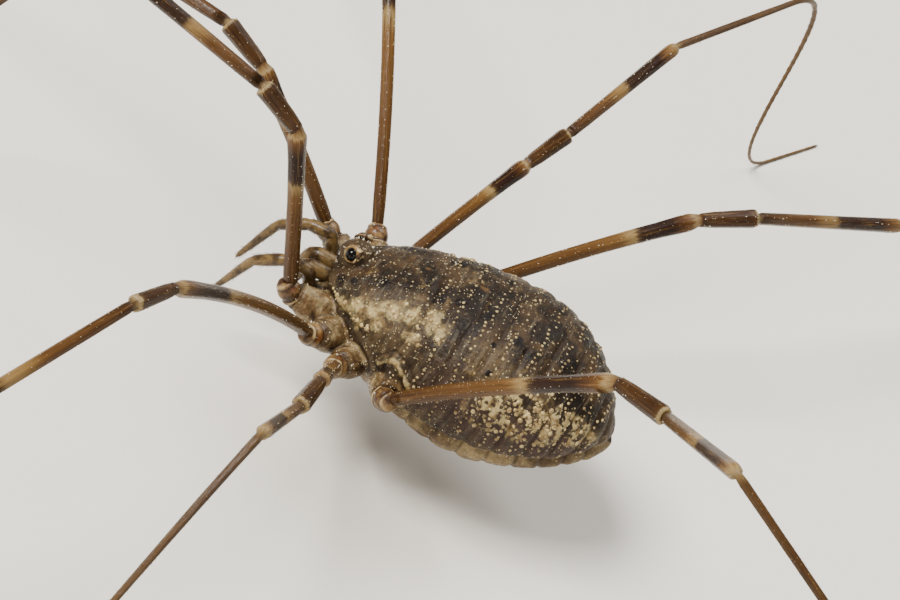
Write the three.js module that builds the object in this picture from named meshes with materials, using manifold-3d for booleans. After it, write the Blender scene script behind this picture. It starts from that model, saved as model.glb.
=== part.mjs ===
// A female harvestman at life size, standing still on the floor.
// Millimetres, +Z up, head toward -Y, its left side toward +X.
// The body is modelled about its own centre line, and the floor lies floorDepth below that line.

import * as THREE from "three";
import { mergeVertices } from "three/addons/utils/BufferGeometryUtils.js";
import Module from "manifold-3d";

const wasm = await Module();
wasm.setup();

// Body sizes.
const bodyFront = -4.75;
const bodyBack = 4.77;
const backHeight = 2.58;
const backHighestAt = 1.3;
const bellyDepth = 2.5;
const bellyDeepestAt = 0.2;
const bodyHalfWidth = 2.85;
const bodyWidestAt = 0.8;
const carapaceEnd = -1.9;
const floorDepth = 4.2;

// Clearances between neighbouring pieces.
const jointGap = 0.15;
const eyeGap = 0.08;

// Eyes and the mound that carries them.
const moundHalfSize = new THREE.Vector3(0.56, 0.56, 0.62);
const moundCentre = new THREE.Vector3(0, -4.25, 0.8);
const eyeRadius = 0.24;
const eyeCentre = new THREE.Vector3(0.36, -4.36, 1.14);

// Leg thickness, as radii.
const limbSides = 8;
const trochanterRadius = 0.38;
const coxaRadius = 0.56;
const femurRadii = [0.26, 0.27, 0.26, 0.26, 0.27, 0.29, 0.3];
const patellaRadii = [0.28, 0.29, 0.3, 0.31];
const tibiaRadii = [0.25, 0.26, 0.26, 0.28];
const metatarsusRadius = 0.25;
const tarsusTipRadius = 0.13;
const tarsusFlat = 2.6;

// Lengths of femur, patella, tibia, metatarsus and tarsus, and the bow of the femur.
const legSizes = [
  { femur: 5.4, patella: 1.6, tibia: 5.2, metatarsus: 6.0, tarsus: 9.5, bow: 0.1 },
  { femur: 9.8, patella: 2.0, tibia: 8.5, metatarsus: 8.5, tarsus: 15, bow: 0.4 },
  { femur: 5.0, patella: 1.7, tibia: 5.0, metatarsus: 7.0, tarsus: 12, bow: 0.1 },
  { femur: 8.2, patella: 2.0, tibia: 7.0, metatarsus: 10, tarsus: 13, bow: 0.2 },
];

// Where each coxa starts under the body and where its leg is hinged, for the left side.
const legRoots = [
  { coxa: [1.05, -3.7, -0.75], hip: [1.63, -5.36, -0.19] },
  { coxa: [0.8, -3.2, -1.05], hip: [2.72, -4.14, -0.26] },
  { coxa: [0.8, -2.5, -1.2], hip: [2.95, -3.08, -0.6] },
  { coxa: [0.8, -1.9, -1.25], hip: [2.9, -1.37, -0.7] },
];

// Pose of each leg in degrees: first how far each segment points forward of straight sideways,
// then how far it rises. The foot pair is the metatarsus where it leaves the tibia, and straight
// is how far in millimetres it runs on that way before it bends down.
const leftPose = [
  { femur: [91, 67], patella: [92, 24], tibia: [96, 5], foot: [82, -25] },
  { femur: [25, 31], patella: [18, 10], tibia: [24, -20], foot: [38, -32] },
  { femur: [1, 33], patella: [3, 8], tibia: [5, 27], foot: [12, -35] },
  { femur: [-73, 49], patella: [-57, 20], tibia: [-20, 34], foot: [-80, -22], straight: 4 },
];
const rightPose = [
  { femur: [84, 40], patella: [76, 14], tibia: [78, -8], foot: [66, -20] },
  { femur: [35, 31], patella: [30, 10], tibia: [32, -18], foot: [44, -30] },
  { femur: [-20, 26], patella: [-21, 24], tibia: [-17, 20], foot: [-27, 6], straight: 5.2 },
  { femur: [-41, 20], patella: [-49, 8], tibia: [-37, -10], foot: [-44, -18] },
];

const material = (color, roughness) => new THREE.MeshStandardMaterial({ color, roughness, metalness: 0 });
const materials = {
  back: material(0x4a3a2c, 0.45),
  carapace: material(0x7a6a52, 0.45),
  eye: material(0x0a0908, 0.08),
  mouthparts: material(0x9a8464, 0.5),
  trochanter: material(0x8a6a40, 0.45),
  femur: material(0x5c4028, 0.42),
  patella: material(0x3f2a1c, 0.42),
  tibia: material(0x6b4b2c, 0.42),
  metatarsus: material(0x6f4e2e, 0.5),
  tarsus: material(0x7a5a38, 0.5),
};

// A closed geometry as a solid, with its shared corners merged and its empty triangles dropped.
function solidOf(geometry) {
  const bare = geometry.clone();
  bare.deleteAttribute("normal");
  bare.deleteAttribute("uv");
  const merged = mergeVertices(bare, 1e-5);
  const index = merged.index.array;
  const kept = [];
  for (let i = 0; i < index.length; i += 3) {
    const [a, b, c] = [index[i], index[i + 1], index[i + 2]];
    if (a !== b && b !== c && c !== a) kept.push(a, b, c);
  }
  const build = (triVerts) =>
    new wasm.Manifold(
      new wasm.Mesh({
        numProp: 3,
        vertProperties: new Float32Array(merged.attributes.position.array),
        triVerts: new Uint32Array(triVerts),
      }),
    );
  const made = build(kept);
  if (made.volume() > 0) return made;
  const turned = [];
  for (let i = 0; i < kept.length; i += 3) turned.push(kept[i], kept[i + 2], kept[i + 1]);
  return build(turned);
}

function geometryOf(solid) {
  const mesh = solid.getMesh();
  const positions = new Float32Array(mesh.numVert * 3);
  for (let i = 0; i < mesh.numVert; i++) {
    const start = i * mesh.numProp;
    positions.set(mesh.vertProperties.subarray(start, start + 3), i * 3);
  }
  const geometry = new THREE.BufferGeometry();
  geometry.setAttribute("position", new THREE.BufferAttribute(positions, 3));
  geometry.setIndex(new THREE.BufferAttribute(mesh.triVerts, 1));
  geometry.computeVertexNormals();
  return geometry;
}

// The largest closed body of a solid, without any loose scrap that a cut leaves.
function mainBody(solid) {
  return solid.decompose().sort((a, b) => b.volume() - a.volume())[0];
}

// Keeps what lies on the side of a plane that its normal points to.
function keepBeyond(solid, normal, point) {
  const unit = normal.clone().normalize();
  return solid.trimByPlane(unit.toArray(), unit.dot(point));
}

// The way from the body: turned forward of straight sideways, then raised, on either side.
function heading([forward, rise], side) {
  const a = THREE.MathUtils.degToRad(forward);
  const b = THREE.MathUtils.degToRad(rise);
  return new THREE.Vector3(side * Math.cos(b) * Math.cos(a), -Math.cos(b) * Math.sin(a), Math.sin(b));
}

// A bar of the given radii, turned about its length and then laid along a path that keeps to an
// upright plane.
function bar(path, radii, sides = limbSides) {
  const length = path.getLength();
  const profile = [new THREE.Vector2(0, 0)];
  radii.forEach((radius, i) => profile.push(new THREE.Vector2(radius, (length * i) / (radii.length - 1))));
  profile.push(new THREE.Vector2(0, length));
  const geometry = new THREE.LatheGeometry(profile, sides);
  const start = path.getPointAt(0);
  const chord = path.getPointAt(1).sub(start);
  const across = new THREE.Vector3(-chord.y, chord.x, 0).normalize();
  const position = geometry.attributes.position;
  const corner = new THREE.Vector3();
  for (let i = 0; i < position.count; i++) {
    corner.fromBufferAttribute(position, i);
    const u = THREE.MathUtils.clamp(corner.y / length, 0, 1);
    const along = path.getTangentAt(u);
    const up = new THREE.Vector3().crossVectors(along, across);
    const place = path.getPointAt(u).addScaledVector(across, corner.x).addScaledVector(up, corner.z);
    position.setXYZ(i, place.x, place.y, place.z);
  }
  return solidOf(geometry);
}

function straightBar(from, to, radii, sides) {
  return bar(new THREE.LineCurve3(from, to), radii, sides);
}

function ball(centre, radius, halfSize = new THREE.Vector3(1, 1, 1), detail = 2) {
  const geometry = new THREE.IcosahedronGeometry(1, detail);
  geometry.scale(halfSize.x * radius, halfSize.y * radius, halfSize.z * radius);
  geometry.translate(centre.x, centre.y, centre.z);
  return solidOf(geometry);
}

// The outlines of the body along its length: each swells from both ends to a fullest place.
function swell(y, fullestAt, ahead, behind) {
  const shape = y < fullestAt ? ahead : behind;
  const reach = y < fullestAt ? fullestAt - bodyFront : bodyBack - fullestAt;
  const u = Math.min(1, Math.abs(y - fullestAt) / reach);
  return Math.pow(1 - Math.pow(u, shape.bend), shape.fullness);
}
function backLine(y) {
  return backHeight * swell(y, backHighestAt, { bend: 1.6, fullness: 0.556 }, { bend: 2, fullness: 0.667 });
}
function bellyLine(y) {
  return bellyDepth * swell(y, bellyDeepestAt, { bend: 1.8, fullness: 0.6 }, { bend: 1.6, fullness: 0.75 });
}
function sideLine(y) {
  return bodyHalfWidth * swell(y, bodyWidestAt, { bend: 1.8, fullness: 0.5 }, { bend: 2, fullness: 0.65 });
}

// The whole body, front to back, as one closed form of rounded sections.
function bodyForm(extra) {
  const stations = 22;
  const profile = [];
  for (let i = 0; i <= stations; i++) {
    const y = bodyFront + ((bodyBack - bodyFront) * (1 - Math.cos((Math.PI * i) / stations))) / 2;
    profile.push(new THREE.Vector2(i === 0 || i === stations ? 0 : 1, y));
  }
  const geometry = new THREE.LatheGeometry(profile, 28);
  const position = geometry.attributes.position;
  const round = (value) => Math.sign(value) * Math.pow(Math.abs(value), 0.92);
  for (let i = 0; i < position.count; i++) {
    const y = position.getY(i);
    const x = round(position.getX(i));
    const z = round(position.getZ(i));
    const height = z > 0 ? backLine(y) : bellyLine(y);
    const spread = Math.abs(x) + Math.abs(z) > 0 ? extra : 0;
    position.setX(i, x * (sideLine(y) + spread));
    position.setZ(i, z * (height + spread));
    if (spread === 0) position.setY(i, y + extra * Math.sign(y));
  }
  return solidOf(geometry);
}

const harvestman = new THREE.Group();
function addPiece(name, solid, look) {
  const mesh = new THREE.Mesh(geometryOf(mainBody(solid)), materials[look]);
  mesh.name = name;
  harvestman.add(mesh);
}

const sides = [
  { name: "left", way: 1, pose: leftPose },
  { name: "right", way: -1, pose: rightPose },
];
const mirrored = ([x, y, z], way) => new THREE.Vector3(x * way, y, z);

// Coxae, one to each leg, as plump bars from under the body to the hinge of the leg.
const coxae = [];
const coxaRooms = [];
const hipRooms = [];
sides.forEach(({ way }) =>
  legRoots.forEach((root) => {
    const from = mirrored(root.coxa, way);
    const hip = mirrored(root.hip, way);
    const radii = [0.62, 0.95, 1.02, 1, 0.92].map((share) => share * coxaRadius);
    coxae.push(straightBar(from, hip, radii, 10));
    const beyond = hip.clone().sub(from).normalize().multiplyScalar(jointGap);
    const wide = radii.map((radius) => radius + jointGap);
    coxaRooms.push(straightBar(from.clone().sub(beyond), hip.clone().add(beyond), wide, 10));
    hipRooms.push(ball(hip, trochanterRadius + jointGap, undefined, 1));
  }),
);

// Chelicerae, folded under the front of the carapace: a basal article and a hand with two fingers.
const cheliceraBase = [0.3, -4.55, -0.02];
const cheliceraBend = [0.34, -5.35, -0.1];
const cheliceraTip = [0.3, -5.55, -1.3];
function chelicera(way) {
  const base = mirrored(cheliceraBase, way);
  const bend = mirrored(cheliceraBend, way);
  const tip = mirrored(cheliceraTip, way);
  const hand = straightBar(bend, tip, [0.16, 0.25, 0.22, 0.09]);
  const arm = straightBar(base, bend, [0.2, 0.24, 0.24, 0.16]);
  return arm.add(hand);
}
function cheliceraRoom(way) {
  const base = mirrored(cheliceraBase, way);
  const bend = mirrored(cheliceraBend, way);
  return straightBar(base.clone().sub(bend).setLength(jointGap).add(base), bend, [0.38, 0.4, 0.4]);
}

// Pedipalps: femur and patella in one piece, tibia and tarsus in the next.
const palpPoints = [
  [0.72, -4.72, -0.95],
  [0.98, -5.2, 0.3],
  [1.0, -5.95, 0.16],
  [1.0, -6.72, -0.48],
  [0.86, -7.3, -2.2],
];
const palpRadii = [
  [0.22, 0.25, 0.26],
  [0.26, 0.27, 0.25],
  [0.25, 0.26, 0.24],
  [0.24, 0.24, 0.2, 0.1],
];
function palpSegment(i, way) {
  const from = mirrored(palpPoints[i], way);
  const to = mirrored(palpPoints[i + 1], way);
  return straightBar(from, to, palpRadii[i]).add(ball(from, palpRadii[i][0] * 1.02, undefined, 1));
}
function cutAtJoint(solid, before, joint, after, keepAfter) {
  const ahead = after.clone().sub(joint).normalize();
  const behind = joint.clone().sub(before).normalize();
  const normal = ahead.add(behind).normalize();
  if (!keepAfter) normal.negate();
  return keepBeyond(solid, normal, joint.clone().addScaledVector(normal, jointGap / 2));
}

// The body parted by a thin furrow behind the carapace.
const body = bodyForm(0);
const bodyRoom = bodyForm(jointGap);
const forward = new THREE.Vector3(0, -1, 0);
const rearward = new THREE.Vector3(0, 1, 0);
let prosoma = keepBeyond(body, forward, new THREE.Vector3(0, carapaceEnd - jointGap / 2, 0));
let opisthosoma = keepBeyond(body, rearward, new THREE.Vector3(0, carapaceEnd + jointGap / 2, 0));
coxae.forEach((coxa) => (prosoma = prosoma.add(coxa)));
coxaRooms.forEach((room) => (opisthosoma = opisthosoma.subtract(room)));
hipRooms.forEach((room) => (prosoma = prosoma.subtract(room)));
sides.forEach(({ way }) => {
  prosoma = prosoma.subtract(cheliceraRoom(way));
  const root = mirrored(palpPoints[0], way);
  prosoma = prosoma.subtract(ball(root, palpRadii[0][0] + jointGap + 0.04, undefined, 1));
  const palpRoom = palpRadii[0].map((radius) => radius + jointGap);
  prosoma = prosoma.subtract(straightBar(root, mirrored(palpPoints[1], way), palpRoom));
});
addPiece("prosoma", prosoma, "carapace");
addPiece("opisthosoma", opisthosoma, "back");

// Ocularium on the carapace, with an eye set in each side.
let mound = ball(moundCentre, 1, moundHalfSize, 2).subtract(bodyRoom);
sides.forEach(({ name, way }) => {
  const centre = mirrored(eyeCentre.toArray(), way);
  mound = mound.subtract(ball(centre, eyeRadius + eyeGap));
  addPiece("eye_" + name, ball(centre, eyeRadius), "eye");
});
addPiece("ocularium", mound, "carapace");

sides.forEach(({ name, way }) => {
  const points = palpPoints.map((point) => mirrored(point, way));
  const upper = palpSegment(0, way).add(palpSegment(1, way));
  const lower = palpSegment(2, way).add(palpSegment(3, way));
  addPiece("palp_upper_" + name, cutAtJoint(upper, points[1], points[2], points[3], false), "mouthparts");
  addPiece("palp_lower_" + name, cutAtJoint(lower, points[1], points[2], points[3], true), "mouthparts");
  addPiece("chelicera_" + name, chelicera(way), "mouthparts");
});

// The end of a leg: from the tibia down in one smooth bend to a short flat run on the floor.
function footPath(start, way, length, straight = 0) {
  const level = new THREE.Vector3(way.x, way.y, 0).normalize();
  const floor = -floorDepth + metatarsusRadius * 0.8;
  const bend = length - straight - tarsusFlat;
  const begin = start.clone().addScaledVector(way, straight);
  const pathFor = (reach) => {
    const end = begin.clone().addScaledVector(level, reach).setZ(floor);
    const out = begin.clone().addScaledVector(way, bend * 0.36);
    const back = end.clone().addScaledVector(level, -bend * 0.34);
    return new THREE.CubicBezierCurve3(begin, out, back, end);
  };
  let near = 0;
  let far = bend;
  for (let i = 0; i < 40; i++) {
    const middle = (near + far) / 2;
    if (pathFor(middle).getLength() < bend) near = middle;
    else far = middle;
  }
  const path = new THREE.CurvePath();
  if (straight) path.add(new THREE.LineCurve3(start, begin));
  const arc = pathFor(near);
  path.add(arc);
  const landing = arc.getPoint(1);
  path.add(new THREE.LineCurve3(landing, landing.clone().addScaledVector(level, tarsusFlat)));
  return path;
}

// Part of a path between two lengths along it, as a smooth curve through evenly spaced points.
function stretch(path, from, to, steps) {
  const total = path.getLength();
  const points = [];
  for (let i = 0; i <= steps; i++) points.push(path.getPointAt((from + ((to - from) * i) / steps) / total));
  return points;
}

const overrun = 0.5;
function legRadii(first, last, steps) {
  return Array.from({ length: steps + 1 }, (_, i) => THREE.MathUtils.lerp(first, last, i / steps));
}

function buildLeg(number, { name, way, pose }) {
  const size = legSizes[number - 1];
  const turn = pose[number - 1];
  const label = (part) => "leg" + number + "_" + part + "_" + name;
  const hip = mirrored(legRoots[number - 1].hip, way);
  const femurWay = heading(turn.femur, way);
  const patellaWay = heading(turn.patella, way);
  const tibiaWay = heading(turn.tibia, way);
  const footWay = heading(turn.foot, way);
  const knee = hip.clone().addScaledVector(femurWay, size.femur);
  const shin = knee.clone().addScaledVector(patellaWay, size.patella);
  const ankle = shin.clone().addScaledVector(tibiaWay, size.tibia);

  addPiece(label("trochanter"), ball(hip, trochanterRadius, undefined, 1), "trochanter");

  // The femur is bowed a little upward, cupped round the trochanter and mitred at the knee.
  const kneeEnd = knee.clone().addScaledVector(femurWay, overrun);
  const middle = hip.clone().lerp(kneeEnd, 0.5);
  middle.z += 2 * size.bow;
  const femur = bar(new THREE.QuadraticBezierCurve3(hip, middle, kneeEnd), femurRadii);
  const cupped = femur.subtract(ball(hip, trochanterRadius + jointGap, undefined, 1));
  addPiece(label("femur"), cutAtJoint(cupped, hip, knee, shin, false), "femur");

  const segment = (before, from, to, after, radii) => {
    const along = to.clone().sub(from).normalize();
    const long = straightBar(
      from.clone().addScaledVector(along, -overrun),
      to.clone().addScaledVector(along, overrun),
      radii,
    );
    return cutAtJoint(cutAtJoint(long, before, from, to, true), from, to, after, false);
  };
  const toes = ankle.clone().add(footWay);
  addPiece(label("patella"), segment(hip, knee, shin, ankle, patellaRadii), "patella");
  addPiece(label("tibia"), segment(knee, shin, ankle, toes, tibiaRadii), "tibia");

  const length = size.metatarsus + size.tarsus;
  const path = footPath(ankle, footWay, length, turn.straight);
  const split = size.metatarsus;
  const upper = stretch(path, 0, split - jointGap / 2, 8);
  upper[0].addScaledVector(footWay, -overrun);
  const metatarsus = bar(new THREE.CatmullRomCurve3(upper), legRadii(0.26, metatarsusRadius, 8));
  addPiece(label("metatarsus"), cutAtJoint(metatarsus, shin, ankle, toes, true), "metatarsus");

  // The foot lies on the floor along its last stretch, on the small flat that the floor gives it.
  const lower = stretch(path, split + jointGap / 2, path.getLength(), 16);
  const taper = legRadii(metatarsusRadius, 0.22, 12).concat([0.21, 0.19, 0.16, tarsusTipRadius]);
  const tarsus = bar(new THREE.CatmullRomCurve3(lower), taper);
  const floorPoint = new THREE.Vector3(0, 0, -floorDepth);
  addPiece(label("tarsus"), keepBeyond(tarsus, new THREE.Vector3(0, 0, 1), floorPoint), "tarsus");
}
sides.forEach((side) => legSizes.forEach((_, i) => buildLeg(i + 1, side)));

// Stands the animal on the floor, centred over the ground it covers.
const box = new THREE.Box3().setFromObject(harvestman);
const centre = box.getCenter(new THREE.Vector3());
harvestman.children.forEach((mesh) => mesh.position.set(-centre.x, -centre.y, -box.min.z));

export default harvestman;
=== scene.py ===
import bpy
import math
import random
from mathutils import Matrix, Vector, noise
from mathutils.bvhtree import BVHTree


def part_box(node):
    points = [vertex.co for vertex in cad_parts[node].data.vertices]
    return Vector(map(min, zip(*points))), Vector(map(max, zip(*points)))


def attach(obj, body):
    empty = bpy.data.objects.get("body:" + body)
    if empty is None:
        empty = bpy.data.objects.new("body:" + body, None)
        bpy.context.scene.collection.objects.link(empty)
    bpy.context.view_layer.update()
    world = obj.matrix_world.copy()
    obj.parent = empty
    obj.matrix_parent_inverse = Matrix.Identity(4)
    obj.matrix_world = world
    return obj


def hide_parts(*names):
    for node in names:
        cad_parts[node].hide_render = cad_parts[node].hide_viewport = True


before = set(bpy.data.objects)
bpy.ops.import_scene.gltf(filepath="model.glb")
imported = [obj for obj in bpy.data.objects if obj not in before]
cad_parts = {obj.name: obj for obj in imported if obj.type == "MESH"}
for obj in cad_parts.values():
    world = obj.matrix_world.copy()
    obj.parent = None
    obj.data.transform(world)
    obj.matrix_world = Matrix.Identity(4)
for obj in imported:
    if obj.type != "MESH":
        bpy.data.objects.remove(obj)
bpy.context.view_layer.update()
random.seed(7)

# everything is modelled in millimetres about the body's centre line, head toward -Y,
# and each finished piece is brought to metres and to its place at the end
body = {
    "front": -4.75, "back": 4.77,
    "backHeight": 2.58, "backHighestAt": 1.3,
    "bellyDepth": 2.5, "bellyDeepestAt": 0.2,
    "halfWidth": 2.85, "widestAt": 0.8,
    "floorDepth": 4.2,
}
sides = (("left", 1), ("right", -1))
low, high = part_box("opisthosoma")
placeOfBody = Vector(((low.x + high.x) / 2, high.y - body["back"] / 1000, body["floorDepth"] / 1000))


def deselectAll():
    bpy.ops.object.select_all(action="DESELECT")


def makeActive(piece):
    deselectAll()
    piece.select_set(True)
    bpy.context.view_layer.objects.active = piece


def applyModifier(piece, kind, name, **settings):
    makeActive(piece)
    modifier = piece.modifiers.new(name, kind)
    for key, value in settings.items():
        setattr(modifier, key, value)
    bpy.ops.object.modifier_apply(modifier=modifier.name)


def joinAll(pieces, name):
    deselectAll()
    for piece in pieces:
        piece.select_set(True)
    bpy.context.view_layer.objects.active = pieces[0]
    bpy.ops.object.join()
    pieces[0].name = name
    return pieces[0]


def finishPiece(piece, material, replaced=(), smooth=True):
    makeActive(piece)
    bpy.ops.object.transform_apply()
    piece.data.transform(Matrix.Translation(placeOfBody) @ Matrix.Scale(0.001, 4))
    if smooth:
        bpy.ops.object.shade_smooth()
    piece.data.materials.clear()
    piece.data.materials.append(material)
    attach(piece, "root")
    if replaced:
        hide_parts(*replaced)


def ellipsoid(centre, halfSize, segments=24, rings=16):
    deselectAll()
    bpy.ops.mesh.primitive_uv_sphere_add(segments=segments, ring_count=rings, radius=1, location=centre)
    bpy.context.object.scale = halfSize
    bpy.ops.object.transform_apply()
    return bpy.context.object


def meshPiece(name, points, faces):
    mesh = bpy.data.meshes.new(name)
    mesh.from_pydata(points, [], faces)
    mesh.update()
    piece = bpy.data.objects.new(name, mesh)
    bpy.context.scene.collection.objects.link(piece)
    return piece


def storeValues(piece, name, values):
    vector = len(values) > len(piece.data.vertices)
    layer = piece.data.attributes.new(name, "FLOAT_VECTOR" if vector else "FLOAT", "POINT")
    layer.data.foreach_set("vector" if vector else "value", values)


def outAt(across, other, turn):
    return across * math.cos(turn) + other * math.sin(turn)


def unit(value):
    return max(0.0, min(1.0, value))


def bell(distance, width):
    return math.exp(-(distance / width) ** 2)


# a tube's side between rings of points, one face between each two neighbours
def sideFaces(around, rings, first=0):
    faces = []
    for ring in range(rings - 1):
        for k in range(around):
            a = first + ring * around + k
            b = first + ring * around + (k + 1) % around
            faces.append((a, b, b + around, a + around))
    return faces


# camera first: the photo looks at the left side from above, turned a little clockwise
camera = {
    "rise": 38, "roll": 32.2, "lens": 200, "sensor": 36, "pixelsWide": 900, "mmPerPixel": 0.0288,
    "aimAhead": -1.33, "aimUp": 1.05, "nearest": 0.005, "farthest": 5,
}
print("camera")
rise = math.radians(camera["rise"])
roll = math.radians(camera["roll"])
toCamera = Vector((math.cos(rise), 0, math.sin(rise)))
levelRight = Vector((0, 1, 0))
plainUp = Vector((-math.sin(rise), 0, math.cos(rise)))
viewRight = math.cos(roll) * levelRight + math.sin(roll) * plainUp
viewUp = -math.sin(roll) * levelRight + math.cos(roll) * plainUp
aim = Vector((0, camera["aimAhead"], 0)) + camera["aimUp"] * plainUp
distance = camera["pixelsWide"] * camera["mmPerPixel"] * camera["lens"] / camera["sensor"]
eyePoint = placeOfBody + (aim + toCamera * distance) / 1000
turned = Matrix((viewRight, viewUp, toCamera)).transposed().to_4x4()
bpy.ops.object.camera_add()
shot = bpy.context.object
shot.matrix_world = Matrix.Translation(eyePoint) @ turned
shot.data.lens = camera["lens"]
shot.data.sensor_width = camera["sensor"]
shot.data.clip_start = camera["nearest"]
shot.data.clip_end = camera["farthest"]
bpy.context.scene.camera = shot


# materials
def tint(red, green, blue):
    def linear(value):
        value = value / 255
        return value / 12.92 if value < 0.04045 else ((value + 0.055) / 1.055) ** 2.4
    return linear(red), linear(green), linear(blue), 1


# one material being wired; its methods add a node each and give back the socket to read
class NodeBench:
    def __init__(self, name, roughness, specular):
        self.material = bpy.data.materials.new(name)
        self.material.use_nodes = True
        self.tree = self.material.node_tree
        self.shader = self.tree.nodes["Principled BSDF"]
        self.shader.inputs["Roughness"].default_value = roughness
        self.shader.inputs["Specular IOR Level"].default_value = specular

    def node(self, kind, **settings):
        made = self.tree.nodes.new(kind)
        for key, value in settings.items():
            setattr(made, key, value)
        return made

    def plug(self, socket, value):
        if isinstance(value, bpy.types.NodeSocket):
            self.tree.links.new(value, socket)
        else:
            socket.default_value = value

    def place(self):
        return self.node("ShaderNodeTexCoord").outputs["Object"]

    def attribute(self, name, vector=False):
        made = self.node("ShaderNodeAttribute", attribute_name=name)
        return made.outputs["Vector" if vector else "Fac"]

    def noise(self, where, scale, detail=3.0, roughness=0.55):
        made = self.node("ShaderNodeTexNoise")
        self.plug(made.inputs["Vector"], where)
        made.inputs["Scale"].default_value = scale
        made.inputs["Detail"].default_value = detail
        made.inputs["Roughness"].default_value = roughness
        return made.outputs["Fac"]

    def cells(self, where, scale):
        made = self.node("ShaderNodeTexVoronoi")
        self.plug(made.inputs["Vector"], where)
        made.inputs["Scale"].default_value = scale
        return made.outputs["Distance"]

    def warp(self, where, scale, reach):
        cloud = self.node("ShaderNodeTexNoise")
        self.plug(cloud.inputs["Vector"], where)
        cloud.inputs["Scale"].default_value = scale
        cloud.inputs["Detail"].default_value = 3
        shift = self.node("ShaderNodeVectorMath", operation="MULTIPLY_ADD")
        self.plug(shift.inputs[0], cloud.outputs["Color"])
        shift.inputs[1].default_value = (reach, reach, reach)
        self.plug(shift.inputs[2], where)
        return shift.outputs[0]

    def math(self, operation, a, b):
        made = self.node("ShaderNodeMath", operation=operation)
        self.plug(made.inputs[0], a)
        self.plug(made.inputs[1], b)
        return made.outputs[0]

    def step(self, value, start, end, low=0.0, high=1.0):
        made = self.node("ShaderNodeMapRange", interpolation_type="SMOOTHSTEP")
        self.plug(made.inputs["Value"], value)
        made.inputs["From Min"].default_value = start
        made.inputs["From Max"].default_value = end
        made.inputs["To Min"].default_value = low
        made.inputs["To Max"].default_value = high
        return made.outputs["Result"]

    # the colour sockets of a mix node are its inputs 6 and 7
    def mix(self, amount, first, second):
        made = self.node("ShaderNodeMix", data_type="RGBA")
        self.plug(made.inputs[0], amount)
        self.plug(made.inputs[6], first)
        self.plug(made.inputs[7], second)
        return made.outputs[2]

    def ramp(self, value, stops):
        made = self.node("ShaderNodeValToRGB")
        self.plug(made.inputs[0], value)
        elements = made.color_ramp.elements
        elements[0].position, elements[0].color = stops[0]
        elements[1].position, elements[1].color = stops[-1]
        for position, color in stops[1:-1]:
            elements.new(position).color = color
        return made.outputs[0]

    def bump(self, height, strength, reach, before=None):
        made = self.node("ShaderNodeBump")
        self.plug(made.inputs["Height"], height)
        made.inputs["Strength"].default_value = strength
        made.inputs["Distance"].default_value = reach
        if before is not None:
            self.plug(made.inputs["Normal"], before)
        return made.outputs["Normal"]

    def finish(self, color, normal=None, roughness=None):
        self.plug(self.shader.inputs["Base Color"], color)
        if normal is not None:
            self.plug(self.shader.inputs["Normal"], normal)
        if roughness is not None:
            self.plug(self.shader.inputs["Roughness"], roughness)
        return self.material


# colours of the body skin
skinColors = {
    "flankA": tint(80, 64, 43), "flankB": tint(40, 30, 21), "purple": tint(64, 48, 40),
    "saddleA": tint(62, 46, 28), "saddleB": tint(25, 17, 10), "vein": tint(98, 90, 72),
    "cream": tint(192, 172, 120), "creamB": tint(124, 101, 62), "patch": tint(16, 9, 6),
    "median": tint(96, 70, 40), "bellyA": tint(136, 117, 82), "bellyB": tint(84, 66, 43),
    # the last colour on the next line is a dark brown used both for mottling on the hips and as painted
    # shade in creases and folds
    "coxaA": tint(142, 124, 90), "coxaB": tint(92, 70, 44), "shadeAndDarkBrown": tint(40, 27, 17),
    # the last colour on the next line is painted shade standing in for tiny pits
    "speck": tint(204, 188, 146), "pitShade": (0.008, 0.006, 0.004, 1),
}


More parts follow.
